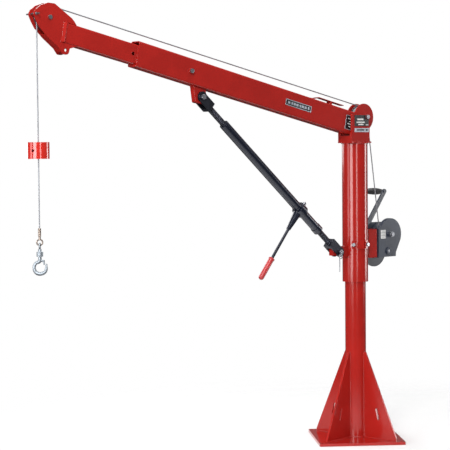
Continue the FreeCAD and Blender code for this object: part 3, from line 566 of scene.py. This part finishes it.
# ------------------------------------------------------------- fillets at the end of the sliding tube
# the corners of a fillet's cross-section, as (distance along the tube, distance from its middle plane)
FILLET = [(0.340, 0.0198), (0.3465, 0.0255), (0.3585, 0.0188)]
FILLET_HALF = 0.0365
PRISM_FACES = [(0, 1, 2), (5, 4, 3), (0, 3, 4, 1), (1, 4, 5, 2), (2, 5, 3, 0)]


def jib_at(along, height, y):
    return JIB_MOUTH + JIB_X * along + JIB_Z * height + WORLD_Y * y


for tag, side in (("near", 1), ("far", -1)):
    corners = [jib_at(along, height, y * side)
               for height in (-FILLET_HALF, FILLET_HALF)
               for along, y in FILLET]
    add_mesh(f"tube_fillet_{tag}", corners, PRISM_FACES, red_paint, "inner_boom",
             smooth=False)

# ------------------------------------------------------------- labels: plain blocks instead of print
BOX_FACES = [(3, 2, 1, 0), (4, 5, 6, 7), (0, 1, 5, 4), (1, 2, 6, 5), (2, 3, 7, 6), (3, 0, 4, 7)]
FILM = 0.0003
INK = 0.0002
EDGE = 0.0028
BOOM_FACE = 0.02561
CHEEK_FACE = 0.04161
WINCH_FACE = 0.03661
SIDE_LABEL = PIVOT + BOOM_X * 0.328 + BOOM_Z * -0.054 + WORLD_Y * BOOM_FACE
SIDE_LABEL_SIZE = (0.154, 0.026)
RATING_LABEL = PIVOT + BOOM_X * 0.062 + BOOM_Z * -0.075 + WORLD_Y * BOOM_FACE
RATING_LABEL_SIZE = (0.050, 0.062)
CHEEK_STRIP = Vector((-0.045, CHEEK_FACE, 1.335))
CHEEK_STRIP_SIZE = (0.090, 0.017)
CHEEK_LABEL = Vector((-0.045, CHEEK_FACE, 1.360))
WINCH_LABEL = Vector((-0.158, WINCH_FACE, 0.868))
WINCH_LABEL_SIZE = (0.032, 0.038)


def blocks(name, at, u, v, cells, rise, mat, body):
    # thin blocks on the near face, as one mesh; a cell is (start, low, width, height) along u and v
    verts = []
    faces = []
    for start, low, wide, high in cells:
        first = len(verts)
        corner = at + u * start + v * low
        outline = [corner, corner + u * wide, corner + u * wide + v * high, corner + v * high]
        verts += outline + [point + WORLD_Y * rise for point in outline]
        faces += [tuple(first + i for i in face) for face in BOX_FACES]
    add_mesh(name, verts, faces, mat, body, smooth=False)


def boom_blocks(name, at, cells, rise, mat):
    blocks(name, at, BOOM_X, BOOM_Z, cells, rise, mat, "boom")


def column_blocks(name, at, cells, rise, mat):
    blocks(name, at, WORLD_X, WORLD_Z, cells, rise, mat, "column")


def framed(name, at, wide, high):
    inner = high - 2 * EDGE
    boom_blocks(f"{name}_low", at, [(0, 0, wide, EDGE)], FILM, silver_film)
    boom_blocks(f"{name}_high", at, [(0, high - EDGE, wide, EDGE)], FILM, silver_film)
    boom_blocks(f"{name}_start", at, [(0, EDGE, EDGE, inner)], FILM, silver_film)
    boom_blocks(f"{name}_end", at, [(wide - EDGE, EDGE, EDGE, inner)], FILM, silver_film)


framed("boom_label_border", SIDE_LABEL, *SIDE_LABEL_SIZE)
framed("rating_border", RATING_LABEL, *RATING_LABEL_SIZE)
column_blocks("cheek_silver", CHEEK_STRIP, [(0, 0, *CHEEK_STRIP_SIZE)], FILM, silver_film)
column_blocks("winch_white", WINCH_LABEL, [(0, 0, *WINCH_LABEL_SIZE)], FILM, white_film)

side_cells = [(0.012 + 0.0165 * i, 0.008, 0.0125 if i % 3 else 0.009, 0.010) for i in range(8)]
rating_cells = [(0.012, 0.012 + 0.011 * i, 0.024 if i % 2 else 0.016, 0.004) for i in range(4)]
cheek_cells = [(0.034, 0.026, 0.040, 0.007), (0.026, 0.014, 0.052, 0.006),
               (0.034, 0.005, 0.034, 0.005), (0.004, 0.004, 0.014, 0.004)]
strip_cells = [(0.008, 0.005, 0.012, 0.008), (0.028, 0.006, 0.050, 0.006)]
winch_cells = [(0.004, 0.006 + 0.0065 * i, 0.024 if i % 2 else 0.018, 0.0016) for i in range(5)]
boom_blocks("boom_label_blocks", SIDE_LABEL, side_cells, INK, silver_film)
boom_blocks("rating_blocks", RATING_LABEL, rating_cells, INK, white_film)
column_blocks("cheek_label_blocks", CHEEK_LABEL, cheek_cells, INK, white_film)
column_blocks("cheek_strip_blocks", CHEEK_STRIP + WORLD_Y * FILM, strip_cells, INK, black_film)
column_blocks("winch_label_lines", WINCH_LABEL + WORLD_Y * FILM, winch_cells, INK, slate)

# ------------------------------------------------------------- floor
FLOOR_HALF = 2.4
FLOOR_DROP = 0.0004
FLOOR_SOLID = 0.5
FLOOR_GONE = 1.9
FLOOR_TONE = 0.86
FLOOR_ROUGHNESS = 0.6


def floor_material():
    # pale, and fading out with distance from the post
    mat = bpy.data.materials.new("floor_white")
    mat.use_nodes = True
    tree = mat.node_tree
    bsdf = tree.nodes["Principled BSDF"]
    bsdf.inputs["Base Color"].default_value = (FLOOR_TONE, FLOOR_TONE, FLOOR_TONE, 1)
    bsdf.inputs["Roughness"].default_value = FLOOR_ROUGHNESS
    coords = tree.nodes.new("ShaderNodeTexCoord")
    reach = tree.nodes.new("ShaderNodeVectorMath")
    reach.operation = "LENGTH"
    tree.links.new(coords.outputs["Object"], reach.inputs[0])
    fade = map_range(tree, reach.outputs["Value"], FLOOR_SOLID, FLOOR_GONE, 1.0, 0.0)
    fade.interpolation_type = "SMOOTHSTEP"
    tree.links.new(fade.outputs["Result"], bsdf.inputs["Alpha"])
    return mat


def make_floor():
    data = bpy.data.meshes.new("floor")
    corners = [(x * FLOOR_HALF, y * FLOOR_HALF, 0) for x, y in ((-1, -1), (1, -1), (1, 1), (-1, 1))]
    data.from_pydata(corners, [], [(0, 1, 2, 3)])
    data.materials.append(floor_material())
    floor = bpy.data.objects.new("floor", data)
    floor.location.z = -FLOOR_DROP
    scene.collection.objects.link(floor)


make_floor()

# ------------------------------------------------------------- light
ROOM_LEVEL = 0.18
DARK_BELOW = 0.25


def make_world():
    # a white backdrop for the camera, and a dim room, darker below, for everything that it lights
    world = bpy.data.worlds.new("studio")
    world.use_nodes = True
    scene.world = world
    tree = world.node_tree
    room = tree.nodes["Background"]
    room.inputs["Strength"].default_value = ROOM_LEVEL
    heading = tree.nodes.new("ShaderNodeTexCoord")
    split = tree.nodes.new("ShaderNodeSeparateXYZ")
    tree.links.new(heading.outputs["Generated"], split.inputs[0])
    shade = map_range(tree, split.outputs["Z"], -0.25, 0.15, DARK_BELOW, 1.0)
    tree.links.new(shade.outputs["Result"], room.inputs["Color"])
    backdrop = tree.nodes.new("ShaderNodeBackground")
    backdrop.inputs["Color"].default_value = (1, 1, 1, 1)
    backdrop.inputs["Strength"].default_value = 1.0
    ray = tree.nodes.new("ShaderNodeLightPath")
    choose = tree.nodes.new("ShaderNodeMixShader")
    tree.links.new(ray.outputs["Is Camera Ray"], choose.inputs["Fac"])
    tree.links.new(room.outputs["Background"], choose.inputs[1])
    tree.links.new(backdrop.outputs["Background"], choose.inputs[2])
    tree.links.new(choose.outputs["Shader"], tree.nodes["World Output"].inputs["Surface"])


def softbox(name, at, target, width, height, power):
    data = bpy.data.lights.new(name, "AREA")
    data.shape = "RECTANGLE"
    data.size = width
    data.size_y = height
    data.energy = power
    obj = bpy.data.objects.new(name, data)
    obj.location = at
    obj.rotation_euler = (Vector(target) - Vector(at)).to_track_quat("-Z", "Y").to_euler()
    obj.visible_camera = False
    scene.collection.objects.link(obj)


def upright(name, azimuth, distance, width, power, low=0.30, high=1.75):
    # a tall softbox that faces the post from the side, from low to high above the floor
    turn = math.radians(azimuth)
    middle = (low + high) / 2
    at = (math.cos(turn) * distance, math.sin(turn) * distance, middle)
    softbox(name, at, (0, 0, middle), width, high - low, power)


make_world()
softbox("key", (5.0, 3.4, 4.2), (0.6, 0, 1.1), 2.2, 2.2, 300)
softbox("top", (0.6, 0.6, 5.2), (0.6, 0, 0.0), 4.0, 4.0, 200)
upright("strip_left", 11, 5.0, 1.9, 84)
upright("strip_front", -18, 5.4, 1.6, 26)
softbox("far_fill", (0.2, -5.2, 3.0), (0.6, 0, 1.0), 4.0, 4.0, 170)
upright("strip_middle", 60, 6.0, 0.9, 34)
upright("strip_right", 155, 5.0, 1.8, 64)
